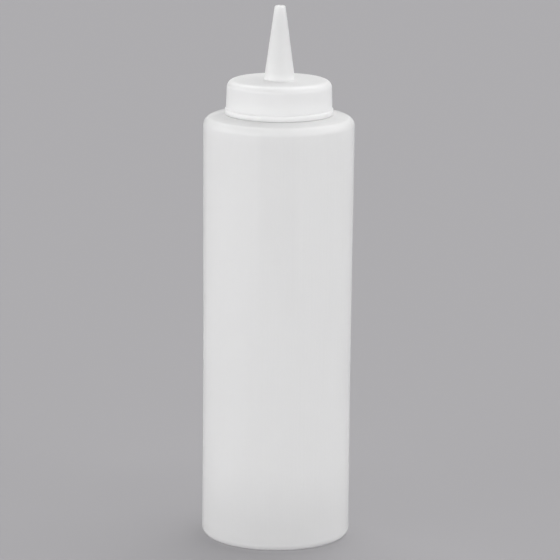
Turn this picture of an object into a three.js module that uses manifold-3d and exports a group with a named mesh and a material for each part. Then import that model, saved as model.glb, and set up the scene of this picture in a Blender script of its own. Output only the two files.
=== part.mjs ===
// Squeeze bottle: a tall round bottle of soft translucent plastic, closed by a screw cap
// that rises into a long pointed nozzle. Millimetres, +Z up. The origin is the middle of
// the flat ring that the bottle stands on.
import * as THREE from 'three';
import { mergeVertices } from 'three/addons/utils/BufferGeometryUtils.js';
import Module from 'manifold-3d';

// Body of the bottle
const SHOULDER_RADIUS = 28.5;
const WAIST_RADIUS = 28.1;
const FOOT_RADIUS = 28.15;
const WAIST_HEIGHT = 48;
const SHOULDER_HEIGHT = 159.3;
const SHOULDER_CORNER = 3.24;
const SHOULDER_SLOPE = THREE.MathUtils.degToRad(10);
const HEEL_CORNER = 3;
const WALL = 0.9;
const SHOULDER_WALL = 1.1;
const BASE_WALL = 1.2;

// Base: a flat ring to stand on, round a raised centre with the pinched weld of the mould
const RING_INNER_RADIUS = 22.4;
const PUSH_UP = 2.6;
const WELD_LENGTH = 17;
const WELD_WIDTH = 1.1;
const WELD_DEPTH = 0.5;
const WELD_SINK = 0.6;
const WELD_TURN = THREE.MathUtils.degToRad(-38);
const GATE_RADIUS = 1.7;

// Neck, of the common 38 mm size
const NECK_RADIUS = 17.2;
const NECK_BORE_RADIUS = 15.5;
const NECK_TOP = 174.7;
const NECK_FILLET = 0.8;
const NECK_LIP = 0.35;

// Screw thread, round in section, single start
const THREAD_PITCH = 4.2;
const THREAD_TURNS = 1.25;
const THREAD_SECTION = 0.9;
const THREAD_SINK = 0.05;
const THREAD_FADE = 0.07;
const NECK_THREAD_START = 167.2;
const CAP_THREAD_SINK = 0.3;

// Cap, with a foot that follows the shoulder and stays a small gap above it
const CAP_GAP = 0.3;
const CAP_TOP = 176.4;
const CAP_LOW_RADIUS = 20;
const CAP_HIGH_RADIUS = 19.7;
const CAP_CORNER = 2.8;
const CAP_TOP_WALL = 1.4;
const CAP_BORE_RADIUS = 18.6;
const CAP_INNER_CORNER = 1.2;
const BEAD_RADIUS = 20.4;
const BEAD_TOP = 165.75;
const BEAD_CORNER = 0.5;

// Nozzle
const NOZZLE_RADIUS = 5.85;
const NOZZLE_FILLET = 0.5;
const TIP_HEIGHT = 204.5;
const TIP_RADIUS = 2;
const TIP_CORNER = 0.7;
const TIP_HOLE_RADIUS = 0.9;
const TIP_HOLE_DEPTH = 1.5;
const NOZZLE_WALL = 1.15;

// Fineness of the round surfaces
const SEGMENTS = 52;
const CORNER_STEPS = 5;
const SMALL_CORNER_STEPS = 3;
const WALL_STEPS = 5;
const BASE_STEPS = 4;
const THREAD_STEPS_PER_TURN = 24;
const THREAD_SIDES = 8;

const DOWN = -Math.PI / 2;
const OUT = 0;
const UP = Math.PI / 2;

const naturalPlastic = new THREE.MeshStandardMaterial({
  name: 'natural plastic',
  color: 0xdedee0,
  roughness: 0.4,
  metalness: 0,
});
const whitePlastic = new THREE.MeshStandardMaterial({
  name: 'white plastic',
  color: 0xe9e9ea,
  roughness: 0.32,
  metalness: 0,
});

const wasm = await Module();
wasm.setup();

// Points of a round corner in the radius and height plane, from one angle to another
function corner(radius, height, size, from, to, steps) {
  return Array.from({ length: steps + 1 }, (_, i) => {
    const angle = from + ((to - from) * i) / steps;
    return new THREE.Vector2(radius + size * Math.cos(angle), height + size * Math.sin(angle));
  });
}

// Outer radius of the body: narrowest at the waist, a little wider at foot and shoulder
function bodyRadius(height) {
  const above = height > WAIST_HEIGHT;
  const end = above ? SHOULDER_RADIUS : FOOT_RADIUS;
  const reach = above ? SHOULDER_HEIGHT - WAIST_HEIGHT : WAIST_HEIGHT - HEEL_CORNER;
  const share = Math.abs(height - WAIST_HEIGHT) / reach;
  return THREE.MathUtils.lerp(WAIST_RADIUS, end, THREE.MathUtils.smoothstep(share, 0, 1));
}

// Height of the sloping shoulder at a radius
function slopeHeight(radius) {
  const start = SHOULDER_RADIUS - SHOULDER_CORNER * (1 - Math.sin(SHOULDER_SLOPE));
  const height = SHOULDER_HEIGHT + SHOULDER_CORNER * Math.cos(SHOULDER_SLOPE);
  return height + (start - radius) * Math.tan(SHOULDER_SLOPE);
}

// Wall points between two heights, a given thickness inside the outer surface
function wall(from, to, inset) {
  return Array.from({ length: WALL_STEPS + 1 }, (_, i) => {
    const height = from + ((to - from) * i) / WALL_STEPS;
    return new THREE.Vector2(bodyRadius(height) - inset, height);
  });
}

// Underside of the base, or the floor inside when lifted by the thickness of the base
function pushUp(lift) {
  return Array.from({ length: BASE_STEPS + 1 }, (_, i) => {
    const share = i / BASE_STEPS;
    return new THREE.Vector2(RING_INNER_RADIUS * share, lift + PUSH_UP * (1 - share * share));
  });
}

// Turns a profile in the radius and height plane about the Z axis
function turned(points) {
  return new THREE.LatheGeometry(points, SEGMENTS).rotateX(Math.PI / 2);
}

// A closed mesh as a solid for joining, without the empty triangles at the poles
function solid(geometry) {
  const bare = geometry.clone();
  bare.deleteAttribute('normal');
  bare.deleteAttribute('uv');
  const merged = mergeVertices(bare);
  const index = merged.index.array;
  const kept = [];
  for (let i = 0; i < index.length; i += 3) {
    const [a, b, c] = index.slice(i, i + 3);
    if (a !== b && b !== c && c !== a) kept.push(a, b, c);
  }
  const vertProperties = new Float32Array(merged.attributes.position.array);
  const triVerts = new Uint32Array(kept);
  return new wasm.Manifold(new wasm.Mesh({ numProp: 3, vertProperties, triVerts }));
}

function geometryOf(manifold) {
  const mesh = manifold.getMesh();
  const geometry = new THREE.BufferGeometry();
  geometry.setAttribute('position', new THREE.BufferAttribute(mesh.vertProperties, 3));
  geometry.setIndex(new THREE.BufferAttribute(mesh.triVerts, 1));
  geometry.computeVertexNormals();
  return geometry;
}

// Middle line of a thread that rises round the axis and moves to another radius at its ends
class ThreadLine extends THREE.Curve {
  constructor(radius, endRadius, start) {
    super();
    this.radius = radius;
    this.endRadius = endRadius;
    this.start = start;
  }

  getPoint(t, target = new THREE.Vector3()) {
    const angle = t * THREAD_TURNS * 2 * Math.PI;
    const rise = THREE.MathUtils.smoothstep(Math.min(t, 1 - t), 0, THREAD_FADE);
    const radius = THREE.MathUtils.lerp(this.endRadius, this.radius, rise);
    const height = this.start + t * THREAD_TURNS * THREAD_PITCH;
    return target.set(radius * Math.cos(angle), radius * Math.sin(angle), height);
  }
}

function thread(radius, endRadius, start) {
  const section = new THREE.Shape();
  section.absarc(0, 0, THREAD_SECTION, 0, 2 * Math.PI);
  return new THREE.ExtrudeGeometry(section, {
    extrudePath: new ThreadLine(radius, endRadius, start),
    steps: Math.round(THREAD_TURNS * THREAD_STEPS_PER_TURN),
    curveSegments: THREAD_SIDES,
  });
}

// The pinched weld across the underside, with the round mark in its middle
function baseWeld() {
  const height = WELD_DEPTH + WELD_SINK;
  const middle = PUSH_UP + WELD_SINK - height / 2;
  const bar = new THREE.BoxGeometry(WELD_LENGTH, WELD_WIDTH, height);
  const mark = new THREE.CylinderGeometry(GATE_RADIUS, GATE_RADIUS, height, THREAD_SIDES * 2);
  bar.rotateZ(WELD_TURN).translate(0, 0, middle);
  mark.rotateX(Math.PI / 2).translate(0, 0, middle);
  return solid(bar).add(solid(mark));
}

function bottleProfile() {
  const slopeEnd = UP - SHOULDER_SLOPE;
  const cornerRadius = SHOULDER_RADIUS - SHOULDER_CORNER;
  const outerCorner = corner(
    cornerRadius, SHOULDER_HEIGHT, SHOULDER_CORNER, OUT, slopeEnd, CORNER_STEPS,
  );
  const innerCorner = corner(
    cornerRadius, SHOULDER_HEIGHT, SHOULDER_CORNER - WALL, OUT, slopeEnd, SMALL_CORNER_STEPS,
  ).reverse();
  const filletRadius = NECK_RADIUS + NECK_FILLET;
  const neckRoot = new THREE.Vector2(NECK_RADIUS, slopeHeight(filletRadius) + NECK_FILLET);
  const filletEnd = new THREE.Vector2(filletRadius, slopeHeight(filletRadius));
  const boreFoot = slopeHeight(NECK_BORE_RADIUS) - SHOULDER_WALL;
  const innerFloor = pushUp(BASE_WALL).reverse();
  const innerHeel = corner(
    FOOT_RADIUS - HEEL_CORNER, HEEL_CORNER, HEEL_CORNER - BASE_WALL, OUT, DOWN, SMALL_CORNER_STEPS,
  );
  return [
    ...pushUp(0),
    ...corner(FOOT_RADIUS - HEEL_CORNER, HEEL_CORNER, HEEL_CORNER, DOWN, OUT, CORNER_STEPS),
    ...wall(HEEL_CORNER, SHOULDER_HEIGHT, 0).slice(1, -1),
    ...outerCorner,
    filletEnd,
    neckRoot,
    new THREE.Vector2(NECK_RADIUS, NECK_TOP - NECK_LIP),
    new THREE.Vector2(NECK_RADIUS - NECK_LIP, NECK_TOP),
    new THREE.Vector2(NECK_BORE_RADIUS + NECK_LIP, NECK_TOP),
    new THREE.Vector2(NECK_BORE_RADIUS, NECK_TOP - NECK_LIP),
    new THREE.Vector2(NECK_BORE_RADIUS, boreFoot),
    ...innerCorner,
    ...wall(HEEL_CORNER, SHOULDER_HEIGHT, WALL).reverse().slice(1, -1),
    ...innerHeel,
    ...innerFloor,
  ];
}

function bottleGeometry() {
  const radius = NECK_RADIUS + THREAD_SINK;
  const neckThread = thread(radius, radius - THREAD_SECTION, NECK_THREAD_START);
  const shell = solid(turned(bottleProfile()));
  return geometryOf(shell.add(solid(neckThread)).add(baseWeld()));
}

function capProfile() {
  const nozzleSlope = Math.atan((NOZZLE_RADIUS - TIP_RADIUS) / (TIP_HEIGHT - CAP_TOP));
  const underside = CAP_TOP - CAP_TOP_WALL;
  const beadMiddle = BEAD_RADIUS - BEAD_CORNER;
  const footLift = CAP_GAP / Math.cos(SHOULDER_SLOPE);
  const beadFoot =
    slopeHeight(beadMiddle) + footLift + BEAD_CORNER / Math.cos(SHOULDER_SLOPE);
  const holeFoot = TIP_HEIGHT - TIP_HOLE_DEPTH;
  const boreTop = TIP_HOLE_RADIUS + TIP_HOLE_DEPTH * Math.tan(nozzleSlope);
  const outline = [
    ...corner(
      beadMiddle, beadFoot, BEAD_CORNER, DOWN - SHOULDER_SLOPE, OUT, SMALL_CORNER_STEPS,
    ),
    ...corner(beadMiddle, BEAD_TOP - BEAD_CORNER, BEAD_CORNER, OUT, UP, SMALL_CORNER_STEPS),
    new THREE.Vector2(CAP_LOW_RADIUS, BEAD_TOP + BEAD_CORNER),
    ...corner(
      CAP_HIGH_RADIUS - CAP_CORNER, CAP_TOP - CAP_CORNER, CAP_CORNER, OUT, UP, CORNER_STEPS,
    ),
    new THREE.Vector2(NOZZLE_RADIUS + NOZZLE_FILLET, CAP_TOP),
    new THREE.Vector2(NOZZLE_RADIUS, CAP_TOP + NOZZLE_FILLET),
    ...corner(
      TIP_RADIUS - TIP_CORNER, TIP_HEIGHT - TIP_CORNER, TIP_CORNER, nozzleSlope, UP,
      SMALL_CORNER_STEPS,
    ),
    new THREE.Vector2(TIP_HOLE_RADIUS, TIP_HEIGHT),
    new THREE.Vector2(boreTop, holeFoot),
    new THREE.Vector2(NOZZLE_RADIUS - NOZZLE_WALL, CAP_TOP),
    new THREE.Vector2(NOZZLE_RADIUS - NOZZLE_WALL, underside),
    ...corner(
      CAP_BORE_RADIUS - CAP_INNER_CORNER, underside - CAP_INNER_CORNER, CAP_INNER_CORNER, UP, OUT,
      SMALL_CORNER_STEPS,
    ),
    new THREE.Vector2(CAP_BORE_RADIUS, slopeHeight(CAP_BORE_RADIUS) + footLift),
  ];
  return [...outline, outline[0]];
}

function capGeometry() {
  const radius = CAP_BORE_RADIUS - THREAD_SINK;
  const start = NECK_THREAD_START - THREAD_PITCH / 2;
  const capThread = thread(radius, radius + CAP_THREAD_SINK, start);
  return geometryOf(solid(turned(capProfile())).add(solid(capThread)));
}

function piece(name, geometry, material) {
  const mesh = new THREE.Mesh(geometry, material);
  mesh.name = name;
  return mesh;
}

const group = new THREE.Group();
group.add(piece('bottle', bottleGeometry(), naturalPlastic));
group.add(piece('cap', capGeometry(), whitePlastic));

export default group;
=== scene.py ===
"""Squeeze bottle with a nozzle cap: its looks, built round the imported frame.

The two pieces are turned from rounded outlines, in millimetres, and end in metres at the
origin. Each is a class that holds its sizes, builds its mesh and dresses it.
"""

import logging
import math
from dataclasses import dataclass, field
from enum import Enum

import bmesh
import bpy
from mathutils import Matrix, Vector


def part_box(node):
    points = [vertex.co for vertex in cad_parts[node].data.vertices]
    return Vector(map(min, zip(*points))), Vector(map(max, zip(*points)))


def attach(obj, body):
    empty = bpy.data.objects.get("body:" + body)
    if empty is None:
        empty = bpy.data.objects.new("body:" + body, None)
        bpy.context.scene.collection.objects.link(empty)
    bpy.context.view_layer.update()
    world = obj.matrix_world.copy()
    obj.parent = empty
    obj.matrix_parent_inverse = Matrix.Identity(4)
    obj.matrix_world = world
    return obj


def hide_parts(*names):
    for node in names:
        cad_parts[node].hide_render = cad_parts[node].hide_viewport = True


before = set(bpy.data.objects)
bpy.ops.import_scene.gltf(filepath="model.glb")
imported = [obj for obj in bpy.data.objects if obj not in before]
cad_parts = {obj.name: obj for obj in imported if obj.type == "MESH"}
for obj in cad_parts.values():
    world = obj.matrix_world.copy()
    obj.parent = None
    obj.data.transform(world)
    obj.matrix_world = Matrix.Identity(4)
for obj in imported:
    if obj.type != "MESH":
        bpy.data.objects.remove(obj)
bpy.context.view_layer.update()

MM = 0.001
FULL_TURN = 2 * math.pi

# Lengths in millimetres: what counts as one place, and where finer rows are and how long.
WELD_GAP = 1e-4
ROW_REACH = 0.1
THREAD_LEAD = 2.0
THREAD_ROW = 0.25
WELD_ROW = 0.3
EVERYWHERE = (Vector((-1, -1)), Vector((1e3, 1e3)))

WHITE = (1.0, 1.0, 1.0, 1.0)
PLASTIC_IOR = 1.5

# What most of a noise lies between.
NOISE_LOW = 0.3
NOISE_HIGH = 0.7

# Where the Mix node keeps its two colours and the blended one.
MIX_FIRST = 6
MIX_SECOND = 7
MIX_BLENDED = 2

log = logging.getLogger("squeeze_bottle")


class Side(Enum):
    """Which face of a wall a ridge stands on, as the sign of the way it rises."""

    OUTER = 1
    INNER = -1


@dataclass(frozen=True)
class Corner:
    """One corner of a turned outline, in millimetres.

    Attributes:
        radius: Distance from the axis.
        height: Height above the floor.
        rounding: Radius that the corner is rounded with, or 0 for a sharp one.
        steps: Straight steps that the rounding is made of.
    """

    radius: float
    height: float
    rounding: float = 0.0
    steps: int = 8

    def tangent(self, before: "Corner", after: "Corner") -> float:
        """Gives how far from the corner its rounding starts along both sides.

        Args:
            before: The corner before this one.
            after: The corner after this one.

        Returns:
            The distance in millimetres.
        """
        here = Vector((self.radius, self.height))
        arriving = here - Vector((before.radius, before.height))
        leaving = Vector((after.radius, after.height)) - here
        return self.rounding * math.tan(abs(arriving.angle(leaving)) / 2)


@dataclass(frozen=True)
class Thread:
    """A screw thread: a ridge that winds round a wall, with ends that fade into it.

    Attributes:
        wall: Radius of the wall that carries it.
        start: Height of its middle line where it begins.
        side: Face of the wall that it stands on.
        rise: How far its crest stands off the wall.
        half_width: Half of its width at the wall.
        pitch: Height of one turn.
        turns: Number of turns.
        fade: Turns over which each end rises from the wall.
        bluntness: Power that shapes its section, lower for a blunter crest.
    """

    wall: float
    start: float
    side: Side
    rise: float = 0.92
    half_width: float = 1.15
    pitch: float = 4.2
    turns: float = 1.25
    fade: float = 0.09
    bluntness: float = 0.75

    def shift(self, angle: float, height: float) -> float:
        """Gives how far the wall moves away from the axis at one place.

        Args:
            angle: Angle round the axis, in radians.
            height: Height above the floor.

        Returns:
            The distance in millimetres, negative towards the axis.
        """
        share = (angle % FULL_TURN) / FULL_TURN
        most = 0.0
        for turn in range(math.ceil(self.turns)):
            along = share + turn
            if along > self.turns:
                continue
            off = abs(height - self.start - along * self.pitch) / self.half_width
            if off >= 1:
                continue
            end = min(along, self.turns - along, self.fade) / self.fade
            crest = (1 - off * off) ** self.bluntness
            most = max(most, crest * math.sin(end * math.pi / 2))
        return self.side.value * self.rise * most


@dataclass(frozen=True)
class Weld:
    """The pinched weld across the base, with a round mark in its middle.

    Attributes:
        length: Length of the ridge.
        width: Width of the ridge.
        depth: How far it stands off the base.
        turn: Angle of the ridge round the axis.
        mark_radius: Radius of the round mark.
        taper: Length over which each end falls away.
        reach: How far the surface round it can change, for finer rows there.
        inside: Share of its depth that shows on the inner face.
    """

    length: float = 17.0
    width: float = 1.5
    depth: float = 0.5
    turn: float = math.radians(-38)
    mark_radius: float = 1.9
    taper: float = 1.0
    reach: float = 9.4
    inside: float = 0.4

    def rise(self, x: float, y: float) -> float:
        """Gives how far the surface is raised at one place.

        Args:
            x: Place along X.
            y: Place along Y.

        Returns:
            The distance in millimetres.
        """
        along = x * math.cos(self.turn) + y * math.sin(self.turn)
        across = y * math.cos(self.turn) - x * math.sin(self.turn)
        past = max(0.0, abs(along) - self.length / 2 + self.taper)
        end = max(0.0, 1 - past / self.taper)
        ridge = max(0.0, 1 - (2 * across / self.width) ** 2) * end
        mark = max(0.0, 1 - (math.hypot(x, y) / self.mark_radius) ** 4)
        return self.depth * max(ridge, mark)


@dataclass
class TurnedShell:
    """A closed shell, spun from an outline of rounded corners.

    Attributes:
        name: Name of the finished piece.
        corners: Corners of the outline, along the outside first.
        closed: True where the outline closes on itself and not on the axis.
        segments: Steps round the axis.
        longest_step: Longest row that the outline keeps between two points.
        mesh: The shell itself, in millimetres until it is finished.
    """

    name: str
    corners: list[Corner]
    closed: bool
    segments: int = 192
    longest_step: float = 3.2
    mesh: bmesh.types.BMesh = field(default_factory=bmesh.new)

    def draw_outline(self) -> None:
        """Draws the outline as a wire and rounds its corners with vertex bevels."""
        wires = [self.mesh.verts.new((c.radius, 0, c.height)) for c in self.corners]
        pairs = list(zip(wires, wires[1:]))
        if self.closed:
            pairs.append((wires[-1], wires[0]))
        for start, end in pairs:
            self.mesh.edges.new((start, end))
        last = len(self.corners) - 1
        for i, (corner, wire) in enumerate(zip(self.corners, wires)):
            if corner.rounding == 0:
                continue
            before = self.corners[i - 1]
            after = self.corners[0 if i == last else i + 1]
            bmesh.ops.bevel(
                self.mesh,
                geom=[wire],
                offset=corner.tangent(before, after),
                offset_type="OFFSET",
                affect="VERTICES",
                segments=corner.steps,
                profile=0.5,
                material=-1,
            )
        self.refine(*EVERYWHERE, self.longest_step)

    def refine(self, low: Vector, high: Vector, step: float) -> None:
        """Splits the outline's long rows inside a box into rows of one length at most.

        Args:
            low: Lowest radius and height of the box.
            high: Highest radius and height of the box.
            step: Longest row to leave there.
        """
        for edge in list(self.mesh.edges):
            middle = (edge.verts[0].co + edge.verts[1].co) / 2
            inside = low.x <= middle.x <= high.x and low.y <= middle.z <= high.y
            cuts = math.ceil(edge.calc_length() / step) - 1
            if inside and cuts > 0:
                bmesh.ops.subdivide_edges(self.mesh, edges=[edge], cuts=cuts)

    def spin(self) -> None:
        """Spins the outline a full turn and closes the poles."""
        bmesh.ops.spin(
            self.mesh,
            geom=self.mesh.verts[:] + self.mesh.edges[:],
            cent=(0, 0, 0),
            axis=(0, 0, 1),
            dvec=(0, 0, 0),
            angle=FULL_TURN,
            steps=self.segments,
            use_merge=True,
            use_duplicate=False,
        )
        bmesh.ops.remove_doubles(self.mesh, verts=self.mesh.verts, dist=WELD_GAP)
        bmesh.ops.recalc_face_normals(self.mesh, faces=self.mesh.faces)

    def finish(self) -> bpy.types.Object:
        """Turns the shell into an object in metres, shaded smooth.

        Returns:
            The new object, at the origin.
        """
        bmesh.ops.scale(self.mesh, vec=(MM, MM, MM), verts=self.mesh.verts)
        for face in self.mesh.faces:
            face.smooth = True
        data = bpy.data.meshes.new(self.name)
        self.mesh.to_mesh(data)
        self.mesh.free()
        piece = bpy.data.objects.new(self.name, data)
        bpy.context.scene.collection.objects.link(piece)
        return piece


@dataclass(frozen=True)
class Grain:
    """A noise pattern in a piece's own coordinates.

    Attributes:
        stretch: Patches per metre along each axis.
        detail: Finer layers of the noise.
    """

    stretch: tuple[float, float, float]
    detail: float


class NodeSheet:
    """A small helper that adds and joins the nodes of one material or of the world."""

    def __init__(self, owner: bpy.types.Material | bpy.types.World, output: str) -> None:
        """Starts an empty sheet.

        Args:
            owner: The material or world that the nodes belong to.
            output: Type of its output node.
        """
        owner.use_nodes = True
        self.tree = owner.node_tree
        self.tree.nodes.clear()
        self.output = self.tree.nodes.new(output)
        self.place = self.tree.nodes.new("ShaderNodeTexCoord").outputs["Object"]

    def add(self, kind: str, **inputs: object) -> bpy.types.Node:
        """Adds a node and sets or joins its inputs.

        Args:
            kind: The node's type.
            **inputs: Values or sockets by input name, with _ for a space.

        Returns:
            The new node.
        """
        node = self.tree.nodes.new(kind)
        for key, value in inputs.items():
            self.join(value, node.inputs[key.replace("_", " ")])
        return node

    def join(self, value: object, socket: bpy.types.NodeSocket) -> None:
        """Joins a socket to an input, or sets the input to a plain value.

        Args:
            value: The socket or the plain value.
            socket: The input.
        """
        if isinstance(value, bpy.types.NodeSocket):
            self.tree.links.new(value, socket)
        else:
            socket.default_value = value

    def sum_up(self, operation: str, *values: object) -> bpy.types.NodeSocket:
        """Adds a Math node.

        Args:
            operation: What it does.
            *values: Its inputs in order, values or sockets.

        Returns:
            The result.
        """
        node = self.tree.nodes.new("ShaderNodeMath")
        node.operation = operation
        for value, socket in zip(values, node.inputs):
            self.join(value, socket)
        return node.outputs[0]

    def vector(self, operation: str, *values: object) -> bpy.types.Node:
        """Adds a Vector Math node.

        Args:
            operation: What it does.
            *values: Its inputs in order, values or sockets.

        Returns:
            The new node.
        """
        node = self.tree.nodes.new("ShaderNodeVectorMath")
        node.operation = operation
        for value, socket in zip(values, node.inputs):
            self.join(value, socket)
        return node

    def rise(self) -> bpy.types.NodeSocket:
        """Gives the height of a place, or how far a direction points up."""
        return self.add("ShaderNodeSeparateXYZ", Vector=self.place).outputs["Z"]

    def facing(self, azimuth: float) -> bpy.types.NodeSocket:
        """Gives how far a place or a direction lies towards one side of the axis.

        Args:
            azimuth: The side, as an angle to the right of the camera, in radians.

        Returns:
            The cosine of the angle between the two, seen from above.
        """
        level = self.vector("MULTIPLY", self.place, (1, 1, 0)).outputs[0]
        level = self.vector("NORMALIZE", level).outputs[0]
        aim = (math.sin(azimuth), -math.cos(azimuth), 0)
        return self.vector("DOT_PRODUCT", level, aim).outputs["Value"]

    def fade(self, value: bpy.types.NodeSocket, low: float, high: float) -> bpy.types.NodeSocket:
        """Maps a value to a smooth step.

        Args:
            value: The value.
            low: Where the step is still 0.
            high: Where the step has reached 1.

        Returns:
            The step.
        """
        mapped = self.add("ShaderNodeMapRange", Value=value)
        mapped.interpolation_type = "SMOOTHSTEP"
        mapped.inputs["From Min"].default_value = low
        mapped.inputs["From Max"].default_value = high
        return mapped.outputs["Result"]

    def noise(self, grain: Grain) -> bpy.types.NodeSocket:
        """Adds a noise.

        Args:
            grain: Its pattern.

        Returns:
            The noise's value, about 0 to 1 and mostly between NOISE_LOW and NOISE_HIGH.
        """
        mapped = self.add("ShaderNodeMapping", Vector=self.place, Scale=grain.stretch)
        place = mapped.outputs["Vector"]
        cloud = self.add("ShaderNodeTexNoise", Vector=place, Scale=1.0, Detail=grain.detail)
        return cloud.outputs["Fac"]

    def spread(self, value: bpy.types.NodeSocket, low: float, high: float) -> bpy.types.NodeSocket:
        """Maps a noise to a range.

        Args:
            value: The noise.
            low: What its low patches become.
            high: What its high patches become.

        Returns:
            The mapped value.
        """
        mapped = self.add("ShaderNodeMapRange", Value=value, To_Min=low, To_Max=high)
        mapped.inputs["From Min"].default_value = NOISE_LOW
        mapped.inputs["From Max"].default_value = NOISE_HIGH
        return mapped.outputs["Result"]

    def tint(
        self, value: object, low: object, high: object, blend: str = "MIX"
    ) -> bpy.types.NodeSocket:
        """Blends two colours by a value.

        Args:
            value: The share of the second colour, a number or a socket.
            low: The first colour, plain or a socket.
            high: The second colour, plain or a socket.
            blend: How the second colour is laid over the first.

        Returns:
            The blended colour.
        """
        mix = self.tree.nodes.new("ShaderNodeMix")
        mix.data_type = "RGBA"
        mix.blend_type = blend
        self.join(value, mix.inputs[0])
        self.join(low, mix.inputs[MIX_FIRST])
        self.join(high, mix.inputs[MIX_SECOND])
        return mix.outputs[MIX_BLENDED]

    def bump(
        self,
        height: bpy.types.NodeSocket,
        distance: float,
        under: bpy.types.NodeSocket | None = None,
    ) -> bpy.types.NodeSocket:
        """Adds relief from a noise.

        Args:
            height: The noise.
            distance: Depth of the relief, in metres.
            under: Relief that this one is laid over.

        Returns:
            The changed normal.
        """
        node = self.add("ShaderNodeBump", Height=height, Distance=distance)
        if under is not None:
            self.tree.links.new(under, node.inputs["Normal"])
        return node.outputs["Normal"]


@dataclass(frozen=True)
class NaturalPlastic:
    """Translucent natural plastic of the blown bottle: satin, cloudy, with faint streaks.

    Attributes:
        clear: Colour of the clearer patches.
        cloudy: Colour of the cloudier patches.
        painted_wall_shade: Painted shade that the wall under the shoulder multiplies the rest's
            by, so that the upward-facing slope and the top of the corner read lighter, as light
            from above makes them; partly also the thinner wall under the thicker shoulder.
        painted_wall_shade_top: Heights between which that painted shade fades out, in metres.
        painted_base_shade: Painted shade that darkens the lower body towards the base, where less
            light falls and the floor's shadow shows through; it multiplies the wall's colour.
        painted_base_shade_reach: Heights between which that painted shade fades out, in metres.
        painted_foot_light_reach: Heights between which that painted shade sets in over the edge of
            the foot, in metres; below them the foot is left lighter, as painted light from
            beneath.
        painted_band_shade: Painted shade that a band down the side facing the camera multiplies
            the wall's by, a painted reflection of the dark space round the camera.
        band_reach: Heights between which the band sets in, in metres.
        band_top: Heights between which it ends under the shoulder, in metres.
        band_width: Angles from its middle between which it fades out, in radians.
        roughness: Roughness of the smoother and of the duller patches.
        scatter: How far light spreads inside the wall, in metres.
        passing: Share of the light that passes straight through a surface.
        streak: Depth of the drawn streaks, in metres.
        pebble: Depth of the fine pebbled relief, in metres.
        gloss: How strongly the surface mirrors.
        streaks: Pattern of the drawn streaks.
        pebbles: Pattern of the fine relief.
        clouds: Pattern of the cloudy patches.
        dullness: Pattern of the duller patches.
    """

    clear: tuple[float, ...] = (0.972, 0.972, 0.972, 1.0)
    cloudy: tuple[float, ...] = (0.992, 0.992, 0.992, 1.0)
    painted_wall_shade: tuple[float, ...] = (0.932, 0.932, 0.932, 1.0)
    painted_wall_shade_top: tuple[float, float] = (0.1614, 0.1626)
    painted_base_shade: tuple[float, ...] = (0.905, 0.905, 0.905, 1.0)
    painted_base_shade_reach: tuple[float, float] = (0.008, 0.036)
    painted_foot_light_reach: tuple[float, float] = (0.0006, 0.0034)
    painted_band_shade: tuple[float, ...] = (0.975, 0.975, 0.975, 1.0)
    band_reach: tuple[float, float] = (0.08, 0.13)
    band_top: tuple[float, float] = (0.1599, 0.1606)
    band_width: tuple[float, float] = (math.radians(10), math.radians(18))
    roughness: tuple[float, float] = (0.18, 0.25)
    scatter: float = 0.0012
    passing: float = 0.22
    streak: float = 0.00006
    pebble: float = 0.00002
    gloss: float = 0.15
    streaks: Grain = Grain((420, 420, 9), 3)
    pebbles: Grain = Grain((900, 900, 700), 2)
    clouds: Grain = Grain((38, 38, 16), 4)
    dullness: Grain = Grain((70, 70, 22), 3)

    def band(self, sheet: NodeSheet) -> bpy.types.NodeSocket:
        """Adds the nodes of the painted shade band down the side facing the camera, a painted
        reflection of the dark space round the camera.

        Args:
            sheet: The nodes of the material.

        Returns:
            The colour that the band multiplies the rest by.
        """
        rise = sheet.rise()
        inner, outer = (math.cos(angle) for angle in self.band_width)
        share = sheet.fade(sheet.facing(0.0), outer, inner)
        share = sheet.sum_up("MULTIPLY", share, sheet.fade(rise, *self.band_reach))
        below = sheet.sum_up("SUBTRACT", 1.0, sheet.fade(rise, *self.band_top))
        share = sheet.sum_up("MULTIPLY", share, below)
        return sheet.tint(share, WHITE, self.painted_band_shade)

    def material(self) -> bpy.types.Material:
        """Builds the material.

        Returns:
            The finished material.
        """
        plastic = bpy.data.materials.new("natural_plastic")
        sheet = NodeSheet(plastic, "ShaderNodeOutputMaterial")
        rise = sheet.rise()
        colour = sheet.tint(sheet.noise(self.clouds), self.clear, self.cloudy)
        # Painted shade: the lower body darkens towards the base; over the foot's edge it is lifted
        # again, as painted light from beneath.
        base = sheet.tint(sheet.fade(rise, *self.painted_base_shade_reach), self.painted_base_shade, WHITE)
        base = sheet.tint(sheet.fade(rise, *self.painted_foot_light_reach), WHITE, base)
        # Painted shade on the wall under the shoulder, so that the slope above reads lit from
        # above; partly also the thinner wall there.
        side = sheet.tint(sheet.fade(rise, *self.painted_wall_shade_top), self.painted_wall_shade, WHITE)
        # The band multiplied in last is painted reflection: darker where the wall faces the
        # camera.
        for shade in (base, side, self.band(sheet)):
            colour = sheet.tint(1.0, colour, shade, "MULTIPLY")
        relief = sheet.bump(sheet.noise(self.streaks), self.streak)
        shader = sheet.add(
            "ShaderNodeBsdfPrincipled",
            Base_Color=colour,
            Roughness=sheet.spread(sheet.noise(self.dullness), *self.roughness),
            Normal=sheet.bump(sheet.noise(self.pebbles), self.pebble, relief),
            Subsurface_Weight=1.0,
            Subsurface_Radius=(1.0, 1.0, 1.0),
            Subsurface_Scale=self.scatter,
            Transmission_Weight=self.passing,
            Specular_IOR_Level=self.gloss,
            IOR=PLASTIC_IOR,
        )
        sheet.tree.links.new(shader.outputs["BSDF"], sheet.output.inputs["Surface"])
        return plastic


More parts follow.
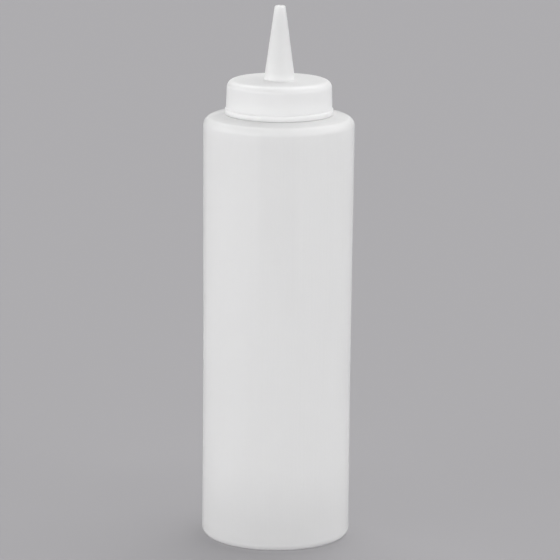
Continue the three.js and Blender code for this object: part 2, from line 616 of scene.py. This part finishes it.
@dataclass(frozen=True)
class WhitePlastic:
    """Milky white plastic of the moulded cap, a little glossier than the bottle.

    Attributes:
        shade: Colour of its duller patches.
        light: Colour of its brighter patches.
        thin_and_painted_tip_shade: Colour that the nozzle multiplies the rest by: partly its
            thinner, more translucent wall, partly painted shade that tones down the light its
            sides and foot catch.
        tip_reach: Heights between which that shade sets in, in metres.
        roughness: Roughness of the smoother and of the duller patches.
        scatter: How far light spreads under the surface, in metres.
        passing: Share of the light that passes straight through a surface.
        pebble: Depth of the fine relief, in metres.
        gloss: How strongly the surface mirrors.
        clouds: Pattern of the brighter and duller patches.
        pebbles: Pattern of the fine relief.
        dullness: Pattern of the roughness.
    """

    shade: tuple[float, ...] = (0.885, 0.885, 0.885, 1.0)
    light: tuple[float, ...] = (0.905, 0.905, 0.905, 1.0)
    thin_and_painted_tip_shade: tuple[float, ...] = (0.86, 0.86, 0.86, 1.0)
    tip_reach: tuple[float, float] = (0.1755, 0.18)
    roughness: tuple[float, float] = (0.285, 0.33)
    scatter: float = 0.0025
    passing: float = 0.08
    pebble: float = 0.000015
    gloss: float = 0.2
    clouds: Grain = Grain((60, 60, 60), 3)
    pebbles: Grain = Grain((800, 800, 800), 2)
    dullness: Grain = Grain((150, 150, 150), 3)

    def material(self) -> bpy.types.Material:
        """Builds the material.

        Returns:
            The finished material.
        """
        plastic = bpy.data.materials.new("white_plastic")
        sheet = NodeSheet(plastic, "ShaderNodeOutputMaterial")
        # The nozzle is darkened from its foot up: partly its thinner wall, partly painted shade.
        thin = sheet.tint(sheet.fade(sheet.rise(), *self.tip_reach), WHITE, self.thin_and_painted_tip_shade)
        skin = sheet.tint(sheet.noise(self.clouds), self.shade, self.light)
        shader = sheet.add(
            "ShaderNodeBsdfPrincipled",
            Base_Color=sheet.tint(1.0, skin, thin, "MULTIPLY"),
            Roughness=sheet.spread(sheet.noise(self.dullness), *self.roughness),
            Normal=sheet.bump(sheet.noise(self.pebbles), self.pebble),
            Subsurface_Weight=1.0,
            Subsurface_Radius=(1.0, 1.0, 1.0),
            Subsurface_Scale=self.scatter,
            Transmission_Weight=self.passing,
            Specular_IOR_Level=self.gloss,
            IOR=PLASTIC_IOR,
        )
        sheet.tree.links.new(shader.outputs["BSDF"], sheet.output.inputs["Surface"])
        return plastic


@dataclass
class Bottle:
    """The blown bottle: a hollow body with a neck, a shoulder and a raised base.

    Sizes are in millimetres. The radius at the shoulder and the top of the neck come from
    the frame.

    Attributes:
        shoulder_radius: Radius of the body under the shoulder.
        neck_top: Height of the neck's rim.
        waist_radius: Radius of the body where it is narrowest.
        foot_radius: Radius of the body over the heel.
        waist_height: Height of the narrowest place.
        shoulder_height: Height where the wall ends and the shoulder's corner starts.
        shoulder_corner: Radius that the shoulder is rounded with.
        shoulder_slope: Angle at which the shoulder slopes up to the neck, in radians.
        heel_corner: Radius that the heel is rounded with.
        wall: Thickness of the wall.
        shoulder_wall: Thickness of the sloping shoulder.
        base_wall: Thickness of the base.
        ring_radius: Radius of the inner edge of the ring that the bottle stands on.
        ring_rounding: Radius that this edge is rounded with.
        push_up: How far the middle of the base is raised.
        neck_radius: Radius of the neck.
        bore_radius: Radius of the neck's bore.
        bore_rounding: Radius that the foot of the bore is rounded with.
        neck_fillet: Radius of the fillet at the foot of the neck.
        lip: Radius that the neck's rim is rounded with.
        thread_start: Height where the thread begins.
        ripple: How far the soft wall may sink in.
        ripple_end: How far under the shoulder the ripple ends.
        waves: Waves of the ripple, each with its lobes round the axis, its rise in each
            radian, and its start in radians.
        weld: The weld across the base.
        finish: What it is made of.
    """

    shoulder_radius: float
    neck_top: float
    waist_radius: float = 28.1
    foot_radius: float = 28.15
    waist_height: float = 48.0
    shoulder_height: float = 159.3
    shoulder_corner: float = 3.24
    shoulder_slope: float = math.radians(10)
    heel_corner: float = 3.0
    wall: float = 0.9
    shoulder_wall: float = 1.1
    base_wall: float = 1.2
    ring_radius: float = 22.4
    ring_rounding: float = 1.2
    push_up: float = 2.6
    neck_radius: float = 17.2
    bore_radius: float = 15.5
    bore_rounding: float = 0.6
    neck_fillet: float = 0.8
    lip: float = 0.35
    thread_start: float = 167.2
    ripple: float = 0.05
    ripple_end: float = 4.0
    waves: tuple[tuple[float, ...], ...] = ((3, 17, 0), (5, -9, 2), (2, 31, 4))
    weld: Weld = Weld()
    finish: NaturalPlastic = NaturalPlastic()

    @classmethod
    def from_frame(cls) -> "Bottle":
        """Takes the bottle's outer sizes from its node."""
        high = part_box("bottle")[1]
        return cls(shoulder_radius=high.x / MM, neck_top=high.z / MM)

    def body_radius(self, height: float) -> float:
        """Gives the outer radius of the wall: narrowest at the waist.

        Args:
            height: Height above the floor.

        Returns:
            The radius in millimetres.
        """
        above = height > self.waist_height
        end = self.shoulder_radius if above else self.foot_radius
        top = self.shoulder_height - self.waist_height
        reach = top if above else self.waist_height - self.heel_corner
        share = min(1.0, abs(height - self.waist_height) / reach)
        return self.waist_radius + (end - self.waist_radius) * share * share * (3 - 2 * share)

    def slope_height(self, radius: float) -> float:
        """Gives the height of the sloping shoulder.

        Args:
            radius: Distance from the axis.

        Returns:
            The height in millimetres.
        """
        middle = self.shoulder_radius - self.shoulder_corner
        start = middle + self.shoulder_corner * math.sin(self.shoulder_slope)
        top = self.shoulder_height + self.shoulder_corner * math.cos(self.shoulder_slope)
        return top + (start - radius) * math.tan(self.shoulder_slope)

    def corners(self) -> list[Corner]:
        """Lists the outline, from the middle of the underside out, up, in and down.

        Returns:
            Its corners in order.
        """
        edge_height = self.slope_height(self.shoulder_radius)
        inside = self.shoulder_radius - self.wall
        inner_corner = self.shoulder_corner - self.wall
        inner_edge = self.slope_height(inside) - self.shoulder_wall
        root_height = self.slope_height(self.neck_radius)
        bore_foot = self.slope_height(self.bore_radius) - self.shoulder_wall
        inner_heel = self.heel_corner - self.base_wall
        return [
            Corner(0, self.push_up),
            Corner(self.ring_radius, 0, self.ring_rounding, steps=5),
            Corner(self.foot_radius, 0, self.heel_corner, steps=10),
            Corner(self.shoulder_radius, edge_height, self.shoulder_corner, steps=12),
            Corner(self.neck_radius, root_height, self.neck_fillet, steps=6),
            Corner(self.neck_radius, self.neck_top, self.lip, steps=4),
            Corner(self.bore_radius, self.neck_top, self.lip, steps=4),
            Corner(self.bore_radius, bore_foot, self.bore_rounding, steps=4),
            Corner(inside, inner_edge, inner_corner, steps=10),
            Corner(self.foot_radius - self.wall, self.base_wall, inner_heel, steps=8),
            Corner(self.ring_radius, self.base_wall, self.ring_rounding, steps=5),
            Corner(0, self.base_wall + self.push_up),
        ]

    def shape_wall(self, shell: TurnedShell) -> None:
        """Gives the outline's two wall lines their slight waist.

        Args:
            shell: The shell, with its outline drawn and not yet spun.
        """
        inner = self.shoulder_radius - 2 * self.wall
        for vert in shell.mesh.verts:
            radius, height = vert.co.x, vert.co.z
            if radius > inner and self.heel_corner < height < self.shoulder_height:
                outer = radius > self.shoulder_radius - self.wall / 2
                vert.co.x = self.body_radius(height) - (0 if outer else self.wall)

    def shape_base(self, shell: TurnedShell) -> None:
        """Curves the base's two lines into a shallow dome.

        Args:
            shell: The shell, with its outline drawn and not yet spun.
        """
        for vert in shell.mesh.verts:
            radius, height = vert.co.x, vert.co.z
            if radius < self.ring_radius - 1 and height < self.waist_height:
                share = radius / self.ring_radius
                vert.co.z += self.push_up * (share - share * share)

    def ripple_at(self, angle: float, height: float) -> float:
        """Gives how far the soft wall sinks in at one place.

        Args:
            angle: Angle round the axis, in radians.
            height: Height above the floor.

        Returns:
            The distance in millimetres, never negative.
        """
        top = self.shoulder_height - self.ripple_end
        if not self.heel_corner < height < top:
            return 0.0
        share = (height - self.heel_corner) / (top - self.heel_corner)
        heights = [
            math.sin(lobes * angle + height / rise + start) for lobes, rise, start in self.waves
        ]
        wave = sum(heights) / len(heights)
        return self.ripple * (1 + wave) * math.sqrt(math.sin(share * math.pi))

    def displace(self, shell: TurnedShell) -> None:
        """Raises the thread and the weld and ripples the wall.

        Args:
            shell: The spun shell, still in millimetres.
        """
        thread = Thread(self.neck_radius, self.thread_start, Side.OUTER)
        inner = self.waist_radius - 1.5 * self.wall
        for vert in shell.mesh.verts:
            x, y, height = vert.co
            radius = math.hypot(x, y)
            angle = math.atan2(y, x)
            if abs(radius - self.neck_radius) < WELD_GAP:
                radius += thread.shift(angle, height)
            elif radius > inner:
                radius -= self.ripple_at(angle, height)
            elif radius < self.weld.reach and height < self.waist_height:
                underside = height < self.push_up + WELD_GAP
                share = -1.0 if underside else self.weld.inside
                vert.co.z += share * self.weld.rise(x, y)
            vert.co.x = radius * math.cos(angle)
            vert.co.y = radius * math.sin(angle)

    def build(self) -> bpy.types.Object:
        """Builds the bottle and dresses it.

        Returns:
            The finished piece.
        """
        shell = TurnedShell("bottle_shell", self.corners(), closed=False)
        shell.draw_outline()
        thread_low = Vector((self.neck_radius - ROW_REACH, self.thread_start - THREAD_LEAD))
        thread_high = Vector((self.neck_radius + ROW_REACH, self.neck_top))
        shell.refine(thread_low, thread_high, THREAD_ROW)
        weld_high = Vector((self.weld.reach, self.base_wall + self.push_up))
        shell.refine(Vector((0, 0)), weld_high, WELD_ROW)
        self.shape_wall(shell)
        self.shape_base(shell)
        shell.spin()
        self.displace(shell)
        piece = shell.finish()
        piece.data.materials.append(self.finish.material())
        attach(piece, "root")
        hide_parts("bottle")
        return piece


@dataclass
class Cap:
    """The screw cap with its nozzle, one moulding.

    Sizes are in millimetres. The bead and the tip's height come from the frame, and the foot
    follows the shoulder of the bottle that the cap is screwed on to.

    Attributes:
        bottle: The bottle that it closes.
        bead_radius: Radius of the bead round the foot.
        tip_height: Height of the nozzle's tip.
        gap: Height between the foot and the shoulder.
        foot_rounding: Radius that the bead's lower edge is rounded with.
        bead_top: Height of the top of the bead.
        bead_rounding: Radius that the bead's upper edge is rounded with.
        bead_root: Radius of the fillet between the bead and the skirt.
        low_radius: Radius of the skirt over the bead.
        high_radius: Radius of the skirt at the top.
        top: Height of the flat top.
        edge: Radius that the top edge is rounded with.
        top_wall: Thickness of the top.
        bore_radius: Radius of the cap's inside.
        inner_corner: Radius that its upper corner is rounded with.
        inner_foot: Radius that its lower edge is rounded with.
        nozzle_radius: Radius of the nozzle at its foot.
        nozzle_fillet: Radius of the fillet at its foot.
        nozzle_wall: Thickness of its wall at its foot.
        tip_radius: Radius of the tip.
        tip_corner: Radius that the tip is rounded with.
        hole_radius: Radius of the hole in the tip.
        hole_rounding: Radius that the hole's edge is rounded with.
        hole_depth: Depth of the hole before the bore widens.
        throat_rounding: Radius of the corner where the bore starts to narrow.
        bore_foot: Radius that the foot of the nozzle's bore is rounded with.
        thread_start: Height where the thread begins.
        finish: What it is made of.
    """

    bottle: Bottle
    bead_radius: float
    tip_height: float
    gap: float = 0.07
    foot_rounding: float = 0.12
    bead_top: float = 165.75
    bead_rounding: float = 0.5
    bead_root: float = 0.3
    low_radius: float = 20.0
    high_radius: float = 19.7
    top: float = 176.4
    edge: float = 2.8
    top_wall: float = 1.4
    bore_radius: float = 18.6
    inner_corner: float = 1.2
    inner_foot: float = 0.3
    nozzle_radius: float = 5.85
    nozzle_fillet: float = 0.45
    nozzle_wall: float = 1.15
    tip_radius: float = 2.0
    tip_corner: float = 0.7
    hole_radius: float = 0.9
    hole_rounding: float = 0.15
    hole_depth: float = 1.5
    throat_rounding: float = 0.5
    bore_foot: float = 0.4
    thread_start: float = 165.1
    finish: WhitePlastic = WhitePlastic()

    @classmethod
    def on(cls, bottle: Bottle) -> "Cap":
        """Takes the cap's outer sizes from its node.

        Args:
            bottle: The bottle that it closes.

        Returns:
            The cap, not built yet.
        """
        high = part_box("cap")[1]
        return cls(bottle=bottle, bead_radius=high.x / MM, tip_height=high.z / MM)

    def foot(self, radius: float) -> float:
        """Gives the height of the underside of the skirt at a radius."""
        return self.bottle.slope_height(radius) + self.gap

    def corners(self) -> list[Corner]:
        """Lists the outline, from the foot up the outside to the tip and down the bore.

        Returns:
            Its corners in order.
        """
        underside = self.top - self.top_wall
        spread = (self.nozzle_radius - self.tip_radius) / (self.tip_height - self.top)
        hole_foot = self.tip_height - self.hole_depth
        hole_end = self.hole_radius + self.hole_depth * spread
        throat = self.nozzle_radius - self.nozzle_wall
        return [
            Corner(self.bead_radius, self.foot(self.bead_radius), self.foot_rounding, steps=3),
            Corner(self.bead_radius, self.bead_top, self.bead_rounding, steps=5),
            Corner(self.low_radius, self.bead_top, self.bead_root, steps=4),
            Corner(self.high_radius, self.top, self.edge, steps=14),
            Corner(self.nozzle_radius, self.top, self.nozzle_fillet, steps=6),
            Corner(self.tip_radius, self.tip_height, self.tip_corner, steps=8),
            Corner(self.hole_radius, self.tip_height, self.hole_rounding, steps=3),
            Corner(hole_end, hole_foot),
            Corner(throat, self.top, self.throat_rounding, steps=3),
            Corner(throat, underside, self.bore_foot, steps=4),
            Corner(self.bore_radius, underside, self.inner_corner, steps=6),
            Corner(self.bore_radius, self.foot(self.bore_radius), self.inner_foot, steps=3),
        ]

    def displace(self, shell: TurnedShell) -> None:
        """Raises the thread inside the skirt.

        Args:
            shell: The spun shell, still in millimetres.
        """
        thread = Thread(self.bore_radius, self.thread_start, Side.INNER)
        for vert in shell.mesh.verts:
            x, y, height = vert.co
            radius = math.hypot(x, y)
            if abs(radius - self.bore_radius) < WELD_GAP:
                angle = math.atan2(y, x)
                radius += thread.shift(angle, height)
                vert.co.x = radius * math.cos(angle)
                vert.co.y = radius * math.sin(angle)

    def build(self) -> bpy.types.Object:
        """Builds the cap and dresses it.

        Returns:
            The finished piece.
        """
        shell = TurnedShell("screw_cap", self.corners(), closed=True)
        shell.draw_outline()
        thread_low = Vector((self.bore_radius - ROW_REACH, self.foot(self.bore_radius)))
        thread_high = Vector((self.bore_radius + ROW_REACH, self.top))
        shell.refine(thread_low, thread_high, THREAD_ROW)
        shell.spin()
        self.displace(shell)
        piece = shell.finish()
        piece.data.materials.append(self.finish.material())
        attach(piece, "root")
        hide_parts("cap")
        return piece


@dataclass(frozen=True)
class Panel:
    """A large soft light, far off in the room round the bottle.

    Attributes:
        strength: How bright it is.
        low: Elevation of its lower edge, in degrees.
        high: Elevation of its upper edge, in degrees.
        azimuth: Where its middle stands, in degrees to the right of the camera.
        half_width: Half of its width, in degrees.
        edge: Half of the width over which its edges fade, in degrees.
    """

    strength: float
    low: float
    high: float
    azimuth: float
    half_width: float
    edge: float = 3.0

    def shine(self, sheet: NodeSheet) -> bpy.types.NodeSocket:
        """Adds the nodes that give its light in each direction.

        Args:
            sheet: The nodes of the world.

        Returns:
            How bright the panel is in a direction.
        """
        rise = sheet.rise()
        light = sheet.fade(rise, *self.step(self.low))
        light = sheet.sum_up("MULTIPLY", light, sheet.fade(rise, *self.step(self.high)[::-1]))
        near = sheet.facing(math.radians(self.azimuth))
        outer = math.cos(math.radians(self.half_width + self.edge))
        inner = math.cos(math.radians(self.half_width - self.edge))
        light = sheet.sum_up("MULTIPLY", light, sheet.fade(near, outer, inner))
        return sheet.sum_up("MULTIPLY", light, self.strength)

    def step(self, elevation: float) -> tuple[float, float]:
        """Gives how far up the directions point between which an edge fades.

        Args:
            elevation: The edge, in degrees.

        Returns:
            The sines of the two elevations, the lower one first.
        """
        low = math.radians(elevation - self.edge)
        high = math.radians(elevation + self.edge)
        return math.sin(low), math.sin(high)


@dataclass(frozen=True)
class Camera:
    """The photograph's viewpoint: a long lens from slightly above, with a slight roll.

    Attributes:
        aside: How far the lens stands to the right of the bottle's axis, in metres.
        distance: How far it stands in front of the axis, in metres.
        height: How high it stands above the floor, in metres.
        pitch: How far it looks down, in radians.
        roll: How far it is rolled, in radians.
        lens: Focal length, in millimetres.
        sensor: Width of the sensor, in millimetres.
        reach: How far it sees, in metres.
    """

    aside: float = 0.00092
    distance: float = 1.382
    height: float = 0.397
    pitch: float = 0.2121
    roll: float = 0.00944
    lens: float = 239.1
    sensor: float = 36.0
    reach: float = 60.0

    def place(self) -> None:
        """Adds the camera and makes it the scene's."""
        camera = bpy.data.objects.new("camera", bpy.data.cameras.new("camera"))
        camera.data.lens = self.lens
        camera.data.sensor_width = self.sensor
        camera.data.clip_end = self.reach
        ahead = Vector((0, math.cos(self.pitch), -math.sin(self.pitch)))
        upright = Vector((0, math.sin(self.pitch), math.cos(self.pitch)))
        across = Vector((1, 0, 0))
        right = across * math.cos(self.roll) + upright * math.sin(self.roll)
        top = upright * math.cos(self.roll) - across * math.sin(self.roll)
        turned = Matrix((right, top, -ahead)).transposed().to_4x4()
        spot = Vector((self.aside, -self.distance, self.height))
        camera.matrix_world = Matrix.Translation(spot) @ turned
        bpy.context.scene.collection.objects.link(camera)
        bpy.context.scene.camera = camera


@dataclass(frozen=True)
class Studio:
    """A plain pale floor in a room of soft light.

    Attributes:
        paper: Colour of the floor.
        paper_roughness: Roughness of the floor.
        grain: Pattern of the floor's relief.
        tooth: Depth of that relief, in metres.
        glow: How strongly the floor is lit from beneath.
        spot: How much more it is lit right under the bottle.
        spot_reach: Distances from the axis between which that fades out, in metres.
        floor_size: Width of the floor, in metres.
        panels: The large soft lights.
        bounces: How often light may bounce, for the glow inside the thin plastic.
        brightest: Limit of bounced light, which keeps single bright specks out.
    """

    paper: tuple[float, ...] = (0.297, 0.292, 0.302, 1.0)
    paper_roughness: float = 0.9
    grain: Grain = Grain((700, 700, 700), 2)
    tooth: float = 0.00001
    glow: float = 0.34
    spot: float = 0.2
    spot_reach: tuple[float, float] = (0.0255, 0.0305)
    floor_size: float = 14.0
    panels: tuple[Panel, ...] = (
        Panel(1.8, low=-5, high=20, azimuth=0, half_width=28),
        Panel(4.4, low=-5, high=20, azimuth=-42, half_width=14),
        Panel(3.3, low=-5, high=20, azimuth=42, half_width=14),
        Panel(3.4, low=-5, high=20, azimuth=-70, half_width=14),
        Panel(2.3, low=-5, high=20, azimuth=70, half_width=14),
        Panel(2.7, low=-5, high=20, azimuth=-100, half_width=16),
        Panel(0.7, low=-5, high=20, azimuth=100, half_width=16),
        Panel(0.5, low=-5, high=20, azimuth=180, half_width=20),
        Panel(0.5, low=20, high=38, azimuth=0, half_width=45),
        Panel(2.6, low=20, high=38, azimuth=90, half_width=45),
        Panel(0.6, low=20, high=38, azimuth=180, half_width=45),
        Panel(1.3, low=20, high=38, azimuth=-90, half_width=45),
        Panel(3.0, low=38, high=62, azimuth=180, half_width=45),
        Panel(1.4, low=45, high=80, azimuth=133, half_width=46),
        Panel(5.0, low=60, high=66, azimuth=10, half_width=35),
    )
    bounces: int = 12
    brightest: float = 2.0

    def lay_floor(self) -> None:
        """Lays the floor, with its glow under the bottle."""
        mesh = bmesh.new()
        bmesh.ops.create_grid(mesh, x_segments=1, y_segments=1, size=self.floor_size / 2)
        data = bpy.data.meshes.new("floor")
        mesh.to_mesh(data)
        mesh.free()
        material = bpy.data.materials.new("studio_paper")
        sheet = NodeSheet(material, "ShaderNodeOutputMaterial")
        out = sheet.vector("LENGTH", sheet.place).outputs["Value"]
        spot = sheet.sum_up("SUBTRACT", 1.0, sheet.fade(out, *self.spot_reach))
        spot = sheet.sum_up("MULTIPLY", spot, self.spot)
        shader = sheet.add(
            "ShaderNodeBsdfPrincipled",
            Base_Color=self.paper,
            Roughness=self.paper_roughness,
            Specular_IOR_Level=0.0,
            Normal=sheet.bump(sheet.noise(self.grain), self.tooth),
            Emission_Color=self.paper,
            Emission_Strength=sheet.sum_up("ADD", spot, self.glow),
        )
        sheet.tree.links.new(shader.outputs["BSDF"], sheet.output.inputs["Surface"])
        data.materials.append(material)
        floor = bpy.data.objects.new("floor", data)
        bpy.context.scene.collection.objects.link(floor)

    def light(self) -> None:
        """Lights the room."""
        world = bpy.data.worlds.new("room")
        bpy.context.scene.world = world
        sheet = NodeSheet(world, "ShaderNodeOutputWorld")
        total: object = 0.0
        for panel in self.panels:
            total = sheet.sum_up("ADD", panel.shine(sheet), total)
        background = sheet.add("ShaderNodeBackground", Color=WHITE, Strength=total)
        sheet.tree.links.new(background.outputs["Background"], sheet.output.inputs["Surface"])

    def set_up(self) -> None:
        """Lays the floor, lights the room and keeps the colours as they are lit."""
        self.lay_floor()
        self.light()
        cycles = bpy.context.scene.cycles
        cycles.diffuse_bounces = self.bounces
        cycles.transmission_bounces = self.bounces
        cycles.max_bounces = 2 * self.bounces
        cycles.sample_clamp_indirect = self.brightest
        bpy.context.scene.view_settings.view_transform = "Standard"


def main() -> None:
    """Builds the object and its studio, and reports each piece."""
    logging.basicConfig(level=logging.INFO, format="%(name)s: %(message)s")
    Camera().place()
    Studio().set_up()
    bottle = Bottle.from_frame()
    for part in (bottle, Cap.on(bottle)):
        piece = part.build()
        log.info("%s has %d faces", piece.name, len(piece.data.polygons))


if __name__ == "__main__":
    main()
